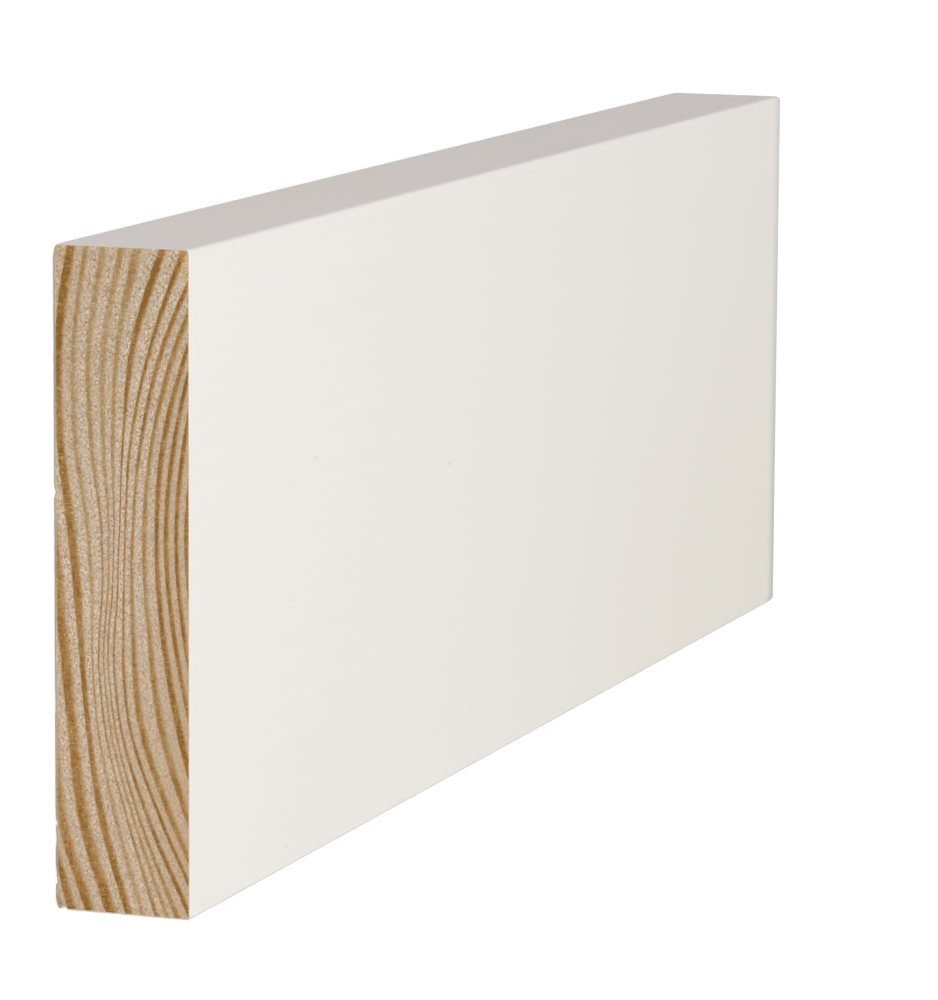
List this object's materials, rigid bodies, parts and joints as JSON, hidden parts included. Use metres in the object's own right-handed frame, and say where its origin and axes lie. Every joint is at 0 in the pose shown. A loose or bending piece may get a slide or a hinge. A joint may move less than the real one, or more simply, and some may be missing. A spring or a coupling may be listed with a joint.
{
  "type": "trim strip",
  "caption": "Flat white-painted pine trim strip of plain rectangular section, with eased long edges and bare sawn ends, for casing openings and covering joints.",
  "frame": {"origin": "under the middle of the strip, on its back face", "axes": "+X along the length, +Y across the width, +Z out of the front face"},
  "size_m": [0.21, 0.069, 0.015],
  "materials": {
    "painted_pine": "satin white factory paint on the four long faces, bare sawn pine end grain on both ends"
  },
  "bodies": {
    "root": {"trim_strip": "painted_pine"}
  },
  "joints": []
}
